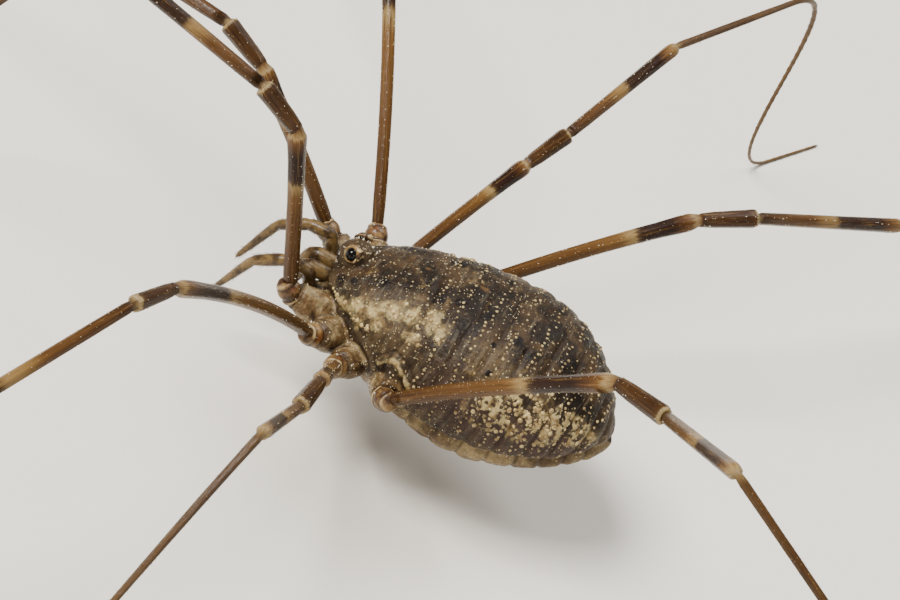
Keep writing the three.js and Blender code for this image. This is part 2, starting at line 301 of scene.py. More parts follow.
def makeSkinMaterial():
    c = skinColors
    bench = NodeBench("bodyCuticle", 0.45, 0.15)
    bench.shader.inputs["Subsurface Weight"].default_value = 0.12
    bench.shader.inputs["Subsurface Radius"].default_value = (1, 0.6, 0.35)
    bench.shader.inputs["Subsurface Scale"].default_value = 0.0003
    where = bench.place()
    bent = bench.warp(where, 2400, 0.00035)
    wrap = bench.attribute("wrap", True)
    cloudy = bench.noise(where, 800, 5, 0.6)
    fine = bench.noise(where, 4200, 4)
    streak = bench.noise(wrap, 3.4, 4, 0.6)
    edge = bench.math("SUBTRACT", bench.noise(where, 2300, 5, 0.68), 0.5)

    # a painted mask with its edge broken up by noise
    def jagged(name, amount, start, end):
        value = bench.math("ADD", bench.attribute(name), bench.math("MULTIPLY", edge, amount))
        return bench.step(value, start, end)

    color = bench.mix(bench.step(cloudy, 0.36, 0.62), c["flankA"], c["flankB"])
    mottle = bench.step(bench.noise(bent, 1500, 4, 0.7), 0.54, 0.7, 0, 0.55)
    color = bench.mix(mottle, color, c["creamB"])
    color = bench.mix(jagged("purple", 0.6, 0.3, 0.8), color, c["purple"])
    color = bench.mix(bench.step(streak, 0.5, 0.68, 0, 0.5), color, c["vein"])
    color = bench.mix(bench.step(streak, 0.3, 0.46, 0.6, 0), color, c["flankB"])
    belly = bench.mix(bench.step(cloudy, 0.4, 0.6), c["bellyA"], c["bellyB"])
    color = bench.mix(jagged("belly", 0.4, 0.35, 0.75), color, belly)
    coxa = bench.mix(bench.step(bench.noise(where, 1700, 5, 0.7), 0.38, 0.58), c["coxaA"], c["coxaB"])
    coxa = bench.mix(bench.step(bench.noise(bent, 2300, 4, 0.65), 0.52, 0.66, 0, 0.85), coxa, c["shadeAndDarkBrown"])
    color = bench.mix(jagged("coxa", 0.3, 0.35, 0.7), color, coxa)
    saddle = bench.mix(bench.step(cloudy, 0.4, 0.58), c["saddleA"], c["saddleB"])
    saddle = bench.mix(bench.step(streak, 0.54, 0.7, 0, 0.45), saddle, c["vein"])
    saddle = bench.mix(bench.step(bench.noise(bent, 1900, 4, 0.7), 0.58, 0.72, 0, 0.5), saddle, c["creamB"])
    color = bench.mix(jagged("saddle", 0.9, 0.3, 0.66), color, saddle)
    lumps = bench.step(bench.noise(bent, 2900, 3, 0.6), 0.47, 0.56)
    holes = bench.step(bench.cells(bent, 5200), 0.2, 0.42)
    net = bench.math("MULTIPLY", bench.math("MULTIPLY", lumps, holes), jagged("net", 1.0, 0.25, 0.6))
    tone = bench.mix(bench.step(fine, 0.38, 0.62), c["cream"], c["creamB"])
    color = bench.mix(net, color, tone)
    holes = bench.step(bench.cells(bent, 4400), 0.16, 0.36, 0.35, 1)
    creamy = bench.math("MULTIPLY", jagged("cream", 1.9, 0.45, 0.95), holes)
    color = bench.mix(creamy, color, tone)
    color = bench.mix(jagged("patch", 1.0, 0.45, 0.7), color, c["patch"])
    color = bench.mix(jagged("median", 2.2, 0.5, 1.0), color, c["median"])
    # painted shade: dark brown laid into the creases, the folds and the groove beside the crescent ridge,
    # together with real brown near the hips
    color = bench.mix(jagged("shadeAndDarkBrown", 0.3, 0.3, 1.0), color, c["shadeAndDarkBrown"])
    specks = bench.step(bench.cells(bent, 7600), 0.08, 0.24, 1, 0)
    specks = bench.math("MULTIPLY", specks, bench.step(bench.noise(where, 1300, 2), 0.42, 0.6, 0.1, 0.8))
    color = bench.mix(specks, color, c["speck"])
    # painted shade: near-black flecks where the fine noise is low stand in for the shade inside tiny pits
    color = bench.mix(bench.step(fine, 0.3, 0.6, 0.45, 0), color, c["pitShade"])
    rugged = bench.step(bench.attribute("coxa"), 0, 1, 1, 0.6)
    normal = bench.bump(bench.math("MULTIPLY", bench.cells(bent, 9000), rugged), 0.5, 0.00003)
    rough = bench.math("MULTIPLY", bench.noise(where, 3000, 5, 0.65), rugged)
    normal = bench.bump(rough, 0.8, 0.00006, normal)
    normal = bench.bump(streak, 0.5, 0.00006, normal)
    normal = bench.bump(bench.math("ADD", net, creamy), 0.4, 0.00004, normal)
    gloss = bench.step(bench.attribute("coxa"), 0, 1, 0.48, 0.26)
    return bench.finish(color, normal, gloss)


# colours along a leg, where whole numbers are its joints:
# 0 hip, 1 knee, 2 end of the patella, 3 end of the tibia, 4 end of the metatarsus
legBands = [
    (0.0, tint(44, 28, 15)), (0.08, tint(64, 41, 19)), (0.5, tint(82, 55, 25)),
    (0.62, tint(92, 64, 30)), (0.66, tint(122, 98, 60)), (0.69, tint(128, 106, 68)),
    (0.705, tint(36, 20, 12)), (0.86, tint(32, 18, 11)), (0.92, tint(66, 41, 19)),
    (0.965, tint(92, 63, 31)), (0.98, tint(140, 118, 78)), (1.0, tint(96, 70, 40)),
    (1.03, tint(48, 30, 15)), (1.2, tint(58, 37, 17)), (1.8, tint(48, 30, 14)),
    (1.92, tint(62, 41, 20)), (1.965, tint(146, 126, 86)), (1.985, tint(124, 102, 64)),
    (2.01, tint(48, 30, 15)), (2.1, tint(66, 43, 21)), (2.36, tint(78, 52, 25)),
    (2.44, tint(112, 86, 48)), (2.51, tint(118, 94, 57)), (2.54, tint(40, 24, 13)),
    (2.82, tint(34, 19, 11)), (2.88, tint(78, 51, 24)), (2.955, tint(112, 84, 46)),
    (2.985, tint(138, 116, 76)), (3.02, tint(72, 50, 26)), (3.31, tint(62, 41, 20)),
    (4.0, tint(84, 60, 31)), (5.0, tint(98, 74, 42)),
]


def makeLegMaterial():
    bench = NodeBench("legCuticle", 0.24, 0.17)
    grain = bench.attribute("grain", True)
    where = bench.place()
    streaks = bench.noise(grain, 3.2, 4, 0.65)
    wobble = bench.math("MULTIPLY", bench.math("SUBTRACT", streaks, 0.5), 0.02)
    along = bench.math("ADD", bench.math("DIVIDE", bench.attribute("stage"), 5), wobble)
    color = bench.ramp(along, [(position / 5, shade) for position, shade in legBands])
    # pale lengthwise streaks: partly pale stripes on the cuticle, partly painted highlight lines along the
    # ridges; the dark streaks on the next line are stripes
    color = bench.mix(bench.step(streaks, 0.54, 0.72, 0, 0.4), color, tint(128, 96, 54))
    color = bench.mix(bench.step(streaks, 0.3, 0.46, 0.7, 0), color, tint(28, 16, 10))
    specks = bench.step(bench.cells(where, 9000), 0.05, 0.14, 0.5, 0)
    color = bench.mix(specks, color, tint(178, 154, 112))
    normal = bench.bump(bench.noise(grain, 9, 2), 0.6, 0.00003)
    normal = bench.bump(bench.noise(where, 9000, 3), 0.4, 0.00002, normal)
    return bench.finish(color, normal)


def makePalpMaterial():
    bench = NodeBench("mouthpartCuticle", 0.3, 0.3)
    where = bench.place()
    blotches = bench.step(bench.noise(where, 2600, 4), 0.4, 0.62)
    color = bench.mix(blotches, tint(104, 82, 47), tint(54, 38, 20))
    color = bench.mix(bench.step(bench.cells(where, 8000), 0.05, 0.14, 0.5, 0), color, tint(190, 172, 132))
    return bench.finish(color, bench.bump(bench.noise(where, 6000, 3), 0.4, 0.00002))


def makeTrochanterMaterial():
    bench = NodeBench("trochanterCuticle", 0.32, 0.3)
    where = bench.place()
    blotches = bench.noise(where, 2600, 4, 0.6)
    color = bench.mix(bench.step(blotches, 0.4, 0.62), tint(128, 100, 62), tint(60, 38, 21))
    amber = bench.step(bench.noise(where, 1900, 4, 0.6), 0.57, 0.7, 0, 0.8)
    color = bench.mix(amber, color, tint(116, 66, 23))
    rim = bench.math("MULTIPLY", bench.attribute("rim"), bench.step(blotches, 0.36, 0.56, 1, 0.15))
    color = bench.mix(rim, color, tint(158, 138, 98))
    color = bench.mix(bench.attribute("groove"), color, tint(36, 23, 14))
    return bench.finish(color, bench.bump(bench.noise(where, 5000, 4), 0.6, 0.00003))


def makeGrainMaterial(name, first, second, roughness):
    bench = NodeBench(name, roughness, 0.5)
    where = bench.place()
    color = bench.mix(bench.step(bench.noise(where, 5000, 3), 0.4, 0.6), first, second)
    return bench.finish(color, bench.bump(bench.noise(where, 16000, 2), 0.3, 0.00001))


def makeRingMaterial():
    bench = NodeBench("eyeRing", 0.34, 0.3)
    where = bench.place()
    blotches = bench.step(bench.noise(where, 3600, 4, 0.65), 0.42, 0.6)
    color = bench.mix(blotches, tint(128, 100, 60), tint(50, 33, 18))
    color = bench.mix(bench.step(bench.noise(where, 6500, 2), 0.56, 0.64), color, tint(172, 152, 108))
    return bench.finish(color, bench.bump(bench.noise(where, 8000, 4), 0.7, 0.00002))


def makeEyeMaterial():
    bench = NodeBench("eyeLens", 0.04, 0.22)
    where = bench.place()
    color = bench.mix(bench.noise(where, 2000, 2), (0.001, 0.001, 0.001, 1), (0.005, 0.004, 0.003, 1))
    return bench.finish(color)


print("materials")
skinMaterial = makeSkinMaterial()
legMaterial = makeLegMaterial()
palpMaterial = makePalpMaterial()
trochanterMaterial = makeTrochanterMaterial()
eyeMaterial = makeEyeMaterial()
ringMaterial = makeRingMaterial()
tubercleMaterial = makeGrainMaterial("creamTubercle", tint(182, 160, 108), tint(128, 104, 62), 0.42)
rowMaterial = makeGrainMaterial("dullTubercle", tint(164, 144, 98), tint(112, 92, 56), 0.42)
whiteMaterial = makeGrainMaterial("whiteDenticle", tint(228, 220, 200), tint(176, 158, 124), 0.4)
hairMaterial = makeGrainMaterial("darkBristle", tint(52, 36, 26), tint(36, 24, 18), 0.5)


# body skin: the same lines as the solids, with the folds between the plates
def swell(y, fullestAt, ahead, behind):
    bend, fullness = ahead if y < fullestAt else behind
    reach = fullestAt - body["front"] if y < fullestAt else body["back"] - fullestAt
    u = min(1.0, abs(y - fullestAt) / reach)
    return (1 - u ** bend) ** fullness


def backLine(y):
    return body["backHeight"] * swell(y, body["backHighestAt"], (1.6, 0.556), (2, 0.667))


def bellyLine(y):
    return body["bellyDepth"] * swell(y, body["bellyDeepestAt"], (1.8, 0.6), (1.6, 0.75))


def sideLine(y):
    return body["halfWidth"] * swell(y, body["widestAt"], (1.8, 0.5), (2, 0.65))


def bodyPoint(y, angle):
    def rounded(value):
        return math.copysign(abs(value) ** 0.92, value)
    x = rounded(math.cos(angle)) * sideLine(y)
    z = rounded(math.sin(angle))
    return Vector((x, y, z * (backLine(y) if z > 0 else bellyLine(y))))


legRoots = [
    {"coxa": (1.05, -3.7, -0.75), "hip": (1.63, -5.36, -0.19)},
    {"coxa": (0.8, -3.2, -1.05), "hip": (2.72, -4.14, -0.26)},
    {"coxa": (0.8, -2.5, -1.2), "hip": (2.95, -3.08, -0.6)},
    {"coxa": (0.8, -1.9, -1.25), "hip": (2.9, -1.37, -0.7)},
]
# folds are (where, depth, width) along the body; patches and creams are (where, degrees up, size);
# the crescent is the ridge behind the third hip, and medians are the spots along the back
skin = {
    "voxel": 0.055, "coxaRadius": 0.53, "foldsFrom": -2.6, "flankFoldFrom": -1.2,
    "folds": [(-1.9, 0.08, 0.09), (-1.3, 0.05, 0.08), (-0.5, 0.05, 0.09), (0.35, 0.055, 0.09),
              (1.2, 0.055, 0.09), (2.0, 0.06, 0.09), (2.75, 0.06, 0.09), (3.4, 0.06, 0.08),
              (3.95, 0.055, 0.08), (4.35, 0.045, 0.07)],
    "patches": [(-1.67, 70, 0.42), (-1.0, 73, 0.28), (-0.1, 72, 0.26), (0.95, 66, 0.24), (1.3, 62, 0.26),
                (1.6, 74, 0.2), (2.42, 70, 0.24), (2.62, 77, 0.2), (-3.2, 62, 0.3), (0.4, 56, 0.15),
                (-4.3, 40, 0.26), (-3.95, 50, 0.22), (0.7, 38, 0.14), (1.8, 30, 0.13), (3.3, 58, 0.2)],
    "crescent": [(2.36, -2.07, -0.1), (2.42, -1.77, 0.34), (2.53, -1.4, 0.24), (2.64, -1.05, -0.02),
                 (2.67, -0.8, -0.2)],
    "creams": [(-4.0, 12, 0.34), (-3.5, 24, 0.34), (-3.05, 34, 0.4), (-2.5, 43, 0.42), (-1.95, 47, 0.44),
               (-1.45, 52, 0.4), (-1.2, 45, 0.36), (-3.2, 14, 0.3), (-2.7, 24, 0.3), (-1.75, 33, 0.3)],
    "medians": [(-2.3, 0.16), (-0.65, 0.2), (0.24, 0.17), (1.34, 0.16), (2.58, 0.13)],
}


def sideFold(y):
    return -1.05 + 0.16 * (y + 0.6) + 0.03 * max(0.0, y - 1) ** 2


def buildBodySkin():
    deselectAll()
    bpy.ops.mesh.primitive_uv_sphere_add(segments=128, ring_count=110, radius=1,
                                         rotation=(math.pi / 2, 0, 0))
    hull = bpy.context.object
    bpy.ops.object.transform_apply()
    for vertex in hull.data.vertices:
        y = body["front"] + (body["back"] - body["front"]) * (vertex.co.y + 1) / 2
        if abs(vertex.co.y) > 0.99999:
            vertex.co = (0, y, 0)
        else:
            vertex.co = bodyPoint(y, math.atan2(vertex.co.z, vertex.co.x))
    pieces = [hull, ellipsoid((0, -4.25, 0.8), (0.56, 0.56, 0.62))]
    for _, way in sides:
        pieces.append(ellipsoid((0.55 * way, -4.6, -0.62), (0.42, 0.5, 0.42)))
        for root in legRoots:
            start = Vector(root["coxa"])
            hip = Vector(root["hip"])
            start.x *= way
            hip.x *= way
            reach = hip - start
            length = reach.length - 0.12
            coxa = ellipsoid((0, 0, 0), (skin["coxaRadius"], skin["coxaRadius"], length / 2))
            for vertex in coxa.data.vertices:
                share = unit(vertex.co.z / length + 0.5)
                full = 0.72 + 0.34 * math.sin(math.pi * share ** 0.8)
                ring = math.hypot(vertex.co.x, vertex.co.y) or 1
                blunt = skin["coxaRadius"] * (1 - abs(2 * share - 1) ** 5) ** 0.5 * full
                vertex.co.x *= blunt / ring
                vertex.co.y *= blunt / ring
            coxa.data.transform(reach.to_track_quat("Z", "Y").to_matrix().to_4x4())
            coxa.data.transform(Matrix.Translation(start + reach.normalized() * length / 2))
            pieces.append(coxa)
    whole = joinAll(pieces, "bodySkin")
    applyModifier(whole, "REMESH", "remesh", mode="VOXEL", voxel_size=skin["voxel"])
    applyModifier(whole, "SMOOTH", "smooth", factor=0.5, iterations=5)
    return whole


def distanceToLine(place, line):
    nearest = 9.0
    for a, b in zip(line, line[1:]):
        reach = b - a
        share = unit((place - a).dot(reach) / reach.length_squared)
        nearest = min(nearest, (place - a - reach * share).length)
    return nearest


def fallOff(distance, radius):
    return max(0.0, 1 - distance / radius)


# how far folds and ridges push the skin in or out, in millimetres, and how deep in a fold it is
def foldsAt(x, y, z, angle, drift, onBody):
    push = 0.0
    shade = 0.0
    flank = z - sideFold(y)
    if y > skin["foldsFrom"]:
        waver = 0.1 * math.sin(math.radians(angle * 2)) + 0.05 * drift
        fade = 1.25 - 0.5 * abs(math.sin(math.radians(angle)))
        for at, depth, width in skin["folds"]:
            inFold = bell(y - at - waver, width) * onBody
            push -= depth * fade * inFold
            shade = max(shade, inFold)
        if y > skin["flankFoldFrom"]:
            push += (0.05 * bell(flank + 0.3, 0.12) - 0.09 * bell(flank - 0.04 * drift, 0.1)) * onBody
    else:
        push -= 0.06 * bell(z - 0.12 - 0.1 * (y + 3.4), 0.09) * onBody
    if z < -1 and onBody > 0.3:
        plate = math.hypot(x / 0.62, (y + 0.9) / 1.5)
        push -= 0.08 * bell(plate - 1, 0.09)
    return push, shade


def shapeAndPaint(whole):
    mesh = whole.data
    names = ("saddle", "patch", "cream", "net", "belly", "purple", "coxa", "median", "shadeAndDarkBrown")
    paint = {name: [0.0] * len(mesh.vertices) for name in names}
    wrap = []
    moves = []
    crescent = [Vector(point) for point in skin["crescent"]]
    hips = [Vector(root["hip"]) for root in legRoots]
    coxae = [(Vector(root["coxa"]), Vector(root["hip"])) for root in legRoots]
    patches = [(bodyPoint(y, math.radians(a)), size) for y, a, size in skin["patches"]]
    creams = [(bodyPoint(y, math.radians(a)), size) for y, a, size in skin["creams"]]
    for vertex in mesh.vertices:
        x, y, z = vertex.co
        side = Vector((abs(x), y, z))
        angle = math.degrees(math.atan2(z, abs(x)))
        drift = noise.noise(Vector((x * 0.8, y * 0.8, z * 0.8)))
        i = vertex.index
        wrap.extend((y * 2.4, angle * 0.012, 0.0 if x > 0 else 4.0))
        nearest, second = sorted(distanceToLine(side, pair) for pair in coxae)[:2]
        onCoxa = unit((0.72 - nearest) / 0.2)
        ring = min((side - hip).length for hip in hips)
        # painted shade where the hips meet the body and each other
        creaseShade = max(0.8 * bell(nearest - 0.68, 0.07), bell(second - nearest, 0.07) * onCoxa)
        onCrescent = distanceToLine(side, crescent)
        beside = bell(onCrescent - 0.24, 0.07)
        push, foldShade = foldsAt(x, y, z, angle, drift, 1 - onCoxa)
        push += 0.03 * noise.noise(Vector((x * 2.2, y * 2.2, z * 2.2)))
        push += 0.012 * noise.noise(Vector((x * 7, y * 7, z * 7)))
        push += 0.05 * bell(ring - 0.5, 0.08)
        push += 0.08 * bell(onCrescent, 0.12) - 0.05 * beside
        moves.append(push)
        # colour masks
        edgeAngle = 50 + 5 * math.sin(y * 1.6) + (6 if -2.2 < y < -0.8 else 0) - 2.5 * max(0, y - 2)
        edgeAngle -= 16 * unit((-2.7 - y) / 0.8)
        paint["saddle"][i] = unit(0.5 + (angle - edgeAngle) / 22)
        paint["patch"][i] = max(fallOff((side - place).length, 1.6 * size) for place, size in patches)
        creamy = max(fallOff((side - place).length, 1.9 * size) for place, size in creams)
        paint["cream"][i] = max(creamy, 0.9 * bell(onCrescent, 0.12))
        browned = 0.75 * unit((0.72 - ring) / 0.3) * onCoxa
        # one mask holds painted shade in creases, in folds and beside the crescent ridge, and the real
        # brown near the hips
        paint["shadeAndDarkBrown"][i] = max(creaseShade, browned, 0.7 * foldShade, 0.8 * beside)
        rear = unit((y - 0.2) / 0.8) * unit((4.6 - y) / 0.6)
        paint["net"][i] = rear * fallOff(abs(angle - 22 - 3 * (y - 2)), 26)
        paint["purple"][i] = unit((y + 1.4) / 0.8) * fallOff(abs(angle - 8), 34)
        paint["belly"][i] = unit(0.5 + (sideFold(y) + 0.1 - z) / 0.7 if y > -1.6 else -z - 0.2)
        paint["coxa"][i] = onCoxa
        if z > 0:
            spots = [fallOff(math.hypot(x * 1.3, y - at), 1.6 * size) for at, size in skin["medians"]]
            paint["median"][i] = max(spots)
    normals = [vertex.normal.copy() for vertex in mesh.vertices]
    for vertex, normal, push in zip(mesh.vertices, normals, moves):
        vertex.co += normal * push
    for name in names:
        storeValues(whole, name, paint[name])
    storeValues(whole, "wrap", wrap)


print("body skin")
bodySkin = buildBodySkin()
shapeAndPaint(bodySkin)
print("  ", len(bodySkin.data.vertices), "points")


# small bumps: one little cone or dome, repeated over a list of places in one mesh
def repeatBumps(name, places, corners, profile):
    points = []
    faces = []
    for place, direction, width, height in places:
        direction = direction.normalized()
        across = direction.orthogonal().normalized()
        other = direction.cross(across)
        first = len(points)
        for share, rise in profile:
            for k in range(corners):
                turn = math.tau * k / corners
                out = outAt(across, other, turn) * width * share
                points.append(place + out + direction * height * rise)
        points.append(place + direction * height)
        top = len(points) - 1
        faces += sideFaces(corners, len(profile), first)
        last = top - corners
        for k in range(corners):
            faces.append((last + k, last + (k + 1) % corners, top))
        faces.append(tuple(first + k for k in reversed(range(corners))))
    return meshPiece(name, points, faces)


# profiles of a bump: share of its width, then share of its height
dome = [(1.0, -0.5), (0.92, 0.4), (0.52, 0.86)]
cone = [(1.0, -0.3), (0.55, 0.45)]

# how many bumps of each kind there are, and their radii
tubercles = {
    "rows": [-1.6, -0.9, -0.08, 0.78, 1.6, 2.38, 3.08, 3.68, 4.15], "rowSpacing": 0.17,
    "rowRadius": (0.032, 0.054), "between": 500, "betweenRadius": (0.016, 0.032),
    "inCream": 90, "creamRadius": (0.04, 0.085), "inNet": 210, "netRadius": (0.035, 0.1),
    "granules": 900, "granuleRadius": (0.009, 0.02), "aboutHip": 26, "hipRadius": (0.01, 0.022),
    "alongCrest": 9, "crestRadius": (0.014, 0.03),
}
skinTree = BVHTree.FromPolygons([vertex.co for vertex in bodySkin.data.vertices],
                                [tuple(polygon.vertices) for polygon in bodySkin.data.polygons])


def onSkin(y, degrees):
    guess = bodyPoint(max(-4.7, min(4.7, y)), math.radians(degrees))
    place, outward, _, _ = skinTree.find_nearest(guess)
    return place, outward


def addBump(places, y, degrees, radius, height):
    place, outward = onSkin(y, degrees)
    places.append((place, outward, radius, radius * height))


def buildRowTubercles():
    places = []
    for y in tubercles["rows"]:
        degrees = -12.0
        girth = sideLine(y) * math.tau / 360
        while degrees < 192:
            degrees += tubercles["rowSpacing"] / girth * random.uniform(0.75, 1.35)
            if random.random() < 0.85:
                radius = random.uniform(*tubercles["rowRadius"])
                addBump(places, y + random.gauss(0, 0.05), degrees, radius, 0.6)
    for _ in range(tubercles["between"]):
        radius = random.uniform(*tubercles["betweenRadius"])
        addBump(places, random.uniform(-4.3, 4.5), random.uniform(-25, 205), radius, 0.6)
    return repeatBumps("rowTubercles", places, 7, dome)


def buildTubercles():
    places = []
    for _, way in sides:
        for _ in range(tubercles["inCream"] // 2):
            y, degrees, size = random.choice(skin["creams"])
            spot = (y + random.gauss(0, 0.22), degrees + random.gauss(0, 5))
            radius = random.uniform(*tubercles["creamRadius"])
            addBump(places, spot[0], spot[1] if way > 0 else 180 - spot[1], radius, 0.5)
        for _ in range(tubercles["inNet"] // 2):
            y = random.triangular(0.2, 4.3, 2.6)
            degrees = 22 + 3 * (y - 2) + random.gauss(0, 11)
            radius = random.uniform(*tubercles["netRadius"]) * random.uniform(0.6, 1)
            addBump(places, y, degrees if way > 0 else 180 - degrees, radius, 0.45)
    return repeatBumps("tubercles", places, 7, dome)


def buildGranules():
    places = []
    while len(places) < tubercles["granules"]:
        y = random.triangular(-4.7, 4.6, -3.4)
        degrees = random.uniform(-60, 240)
        if noise.noise(Vector((y * 1.3, degrees * 0.026, 3.0))) < -0.1:
            continue
        addBump(places, y, degrees, random.uniform(*tubercles["granuleRadius"]), 1.4)
    # more about the leg roots, and a double crest over the eyes
    for _, way in sides:
        for root in legRoots:
            hip = Vector((root["hip"][0] * way, *root["hip"][1:]))
            for _ in range(tubercles["aboutHip"]):
                shift = Vector([random.gauss(0, 1) for _ in range(3)]).normalized()
                size = random.uniform(*tubercles["hipRadius"])
                if random.random() < 0.5:
                    places.append((hip + shift * 0.36, shift, size, size * 2))
                else:
                    place, outward, _, _ = skinTree.find_nearest(hip + shift * 0.8)
                    places.append((place, outward, size, size * 1.6))
    for _, way in sides:
        for k in range(tubercles["alongCrest"]):
            turn = math.radians(-20 + 24 * k)
            across = way * (0.2 + 0.05 * math.cos(turn))
            guess = Vector((across, -4.25 - 0.45 * math.cos(turn), 0.8 + 0.62 * math.sin(turn)))
            place, outward, _, _ = skinTree.find_nearest(guess)
            for _ in range(3):
                shift = Vector([random.uniform(-0.06, 0.06) for _ in range(3)])
                size = random.uniform(*tubercles["crestRadius"])
                places.append((place + shift * 0.6, outward, size, size * 2.2))
    return repeatBumps("granules", places, 5, cone)


print("tubercles and granules")
finishPiece(buildRowTubercles(), rowMaterial)
finishPiece(buildTubercles(), tubercleMaterial)
finishPiece(buildGranules(), whiteMaterial, smooth=False)
finishPiece(bodySkin, skinMaterial, ("prosoma", "opisthosoma", "ocularium"))


# eyes
eyes = {
    "lens": 0.205, "lensOut": 0.08, "ringRadius": 0.215, "ringThick": 0.07, "ringOut": 0.11,
    "facing": (0.84, -0.34, 0.45),
}
rearTop = Vector((0, 0.7, 0.7))
print("eyes")
for name, way in sides:
    low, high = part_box("eye_" + name)
    centre = ((low + high) / 2 - placeOfBody) * 1000
    facing = Vector(eyes["facing"])
    facing.x *= way
    facing.normalize()
    lens = ellipsoid(centre + facing * eyes["lensOut"], (eyes["lens"],) * 3, 32, 20)
    finishPiece(lens, eyeMaterial, ("eye_" + name,))
    lens.name = "eyeLens_" + name
    deselectAll()
    bpy.ops.mesh.primitive_torus_add(major_radius=eyes["ringRadius"], minor_radius=eyes["ringThick"],
                                     major_segments=40, minor_segments=14)
    ring = bpy.context.object
    ring.data.transform(facing.to_track_quat("Z", "Y").to_matrix().to_4x4())
    for vertex in ring.data.vertices:
        flat = vertex.co - facing * vertex.co.dot(facing)
        spine = flat.normalized() * eyes["ringRadius"]
        swellBy = 0.55 + 0.95 * max(0.0, flat.normalized().dot(rearTop)) ** 1.5
        swellBy += 0.35 * noise.noise(vertex.co * 9)
        vertex.co = spine + (vertex.co - spine) * swellBy
    ring.data.transform(Matrix.Translation(centre + facing * eyes["ringOut"]))
    ring.name = "eyeRing_" + name
    finishPiece(ring, ringMaterial)


# legs: lengths of each one's segments, how far the thigh bows up, and how stout the leg is
legSizes = [
    {"femur": 5.4, "patella": 1.6, "tibia": 5.2, "metatarsus": 6.0, "tarsus": 9.5, "bow": 0.1,
     "stout": 1.06},
    {"femur": 9.8, "patella": 2.0, "tibia": 8.5, "metatarsus": 8.5, "tarsus": 15, "bow": 0.4,
     "stout": 0.95},
    {"femur": 5.0, "patella": 1.7, "tibia": 5.0, "metatarsus": 7.0, "tarsus": 12, "bow": 0.1,
     "stout": 1.0},
    {"femur": 8.2, "patella": 2.0, "tibia": 7.0, "metatarsus": 10, "tarsus": 13, "bow": 0.2,
     "stout": 1.08},
]
# degrees forward of straight sideways, then degrees up; straight is how far the foot runs on
# that way before it bends down
leftPose = [
    {"femur": (91, 67), "patella": (92, 24), "tibia": (96, 5), "foot": (82, -25)},
    {"femur": (25, 31), "patella": (18, 10), "tibia": (24, -20), "foot": (38, -32)},
    {"femur": (1, 33), "patella": (3, 8), "tibia": (5, 27), "foot": (12, -35)},
    {"femur": (-73, 49), "patella": (-57, 20), "tibia": (-20, 34), "foot": (-80, -22), "straight": 4},
]
rightPose = [
    {"femur": (84, 40), "patella": (76, 14), "tibia": (78, -8), "foot": (66, -20)},
    {"femur": (35, 31), "patella": (30, 10), "tibia": (32, -18), "foot": (44, -30)},
    {"femur": (-20, 26), "patella": (-21, 24), "tibia": (-17, 20), "foot": (-27, 6), "straight": 5.2},
    {"femur": (-41, 20), "patella": (-49, 8), "tibia": (-37, -10), "foot": (-44, -18)},
]
# radius of each segment at shares of its length
legForms = {
    "femur": [(0, 0.16), (0.03, 0.19), (0.1, 0.205), (0.55, 0.21), (0.8, 0.225), (0.94, 0.255),
              (0.965, 0.25), (0.99, 0.2), (1, 0.17)],
    "patella": [(0, 0.17), (0.06, 0.2), (0.3, 0.23), (0.7, 0.25), (0.92, 0.265), (0.955, 0.255),
                (0.985, 0.2), (1, 0.15)],
    "tibia": [(0, 0.14), (0.03, 0.175), (0.2, 0.185), (0.55, 0.195), (0.8, 0.205),
              (0.95, 0.215), (0.97, 0.2), (0.99, 0.15), (1, 0.12)],
    "metatarsus": [(0, 0.1), (0.03, 0.125), (0.2, 0.118), (0.97, 0.092), (0.985, 0.1), (1, 0.075)],
    "tarsus": [(0, 0.07), (0.02, 0.084), (0.3, 0.07), (0.8, 0.048), (0.985, 0.036), (1, 0.022)],
}
legDetail = {
    "step": 0.16, "tarsusStep": 0.12, "ridges": 6, "around": 24, "ridgeHeight": 0.05,
    "fromHip": 0.16, "flat": 2.6, "contactRadius": 0.06, "ringEvery": 0.36, "ringSwell": 0.09,
    "ends": [0, 0.012, 0.03, 0.06, 0.94, 0.96, 0.975, 0.99],
}


def heading(angles, way):
    a, b = math.radians(angles[0]), math.radians(angles[1])
    return Vector((way * math.cos(b) * math.cos(a), -math.cos(b) * math.sin(a), math.sin(b)))


def bezierPoint(p, t):
    s = 1 - t
    return p[0] * s ** 3 + p[1] * 3 * s * s * t + p[2] * 3 * s * t * t + p[3] * t ** 3


def footLine(start, way, length, straight):
    level = Vector((way.x, way.y, 0)).normalized()
    floor = -body["floorDepth"] + legDetail["contactRadius"]
    bend = length - straight - legDetail["flat"]
    begin = start + way * straight

    def lineFor(reach):
        end = begin + level * reach
        end.z = floor
        return [begin, begin + way * bend * 0.36, end - level * bend * 0.34, end]

    def measure(p):
        points = [bezierPoint(p, i / 120) for i in range(121)]
        return sum((b - a).length for a, b in zip(points, points[1:]))

    near, far = 0, bend
    for _ in range(30):
        middle = (near + far) / 2
        if measure(lineFor(middle)) < bend:
            near = middle
        else:
            far = middle
    p = lineFor(near)
    points = [start.lerp(begin, i / 40) for i in range(40)] if straight else []
    points += [bezierPoint(p, i / 160) for i in range(161)]
    return points + [p[3] + level * legDetail["flat"] * i / 20 for i in range(1, 21)]


def spacedPoints(points, start, end, step):
    lengths = [0.0]
    for a, b in zip(points, points[1:]):
        lengths.append(lengths[-1] + (b - a).length)
    count = max(2, round((end - start) / step))
    made = []
    k = 0
    for i in range(count + 1):
        want = min(start + (end - start) * i / count, lengths[-1] - 1e-6)
        while k < len(lengths) - 2 and lengths[k + 1] < want:
            k += 1
        share = (want - lengths[k]) / max(1e-9, lengths[k + 1] - lengths[k])
        made.append(points[k].lerp(points[k + 1], share))
    return made


def radiusAt(form, share):
    for (a, ra), (b, rb) in zip(form, form[1:]):
        if share <= b:
            t = (share - a) / (b - a)
            return ra + (rb - ra) * t * t * (3 - 2 * t)
    return form[-1][1]


# how far the bands of a thigh sit toward the hip on each leg
bandShift = {"left": [0.02, 0.0, 0.0, 0.065], "right": [0.0, 0.0, 0.0, -0.045]}


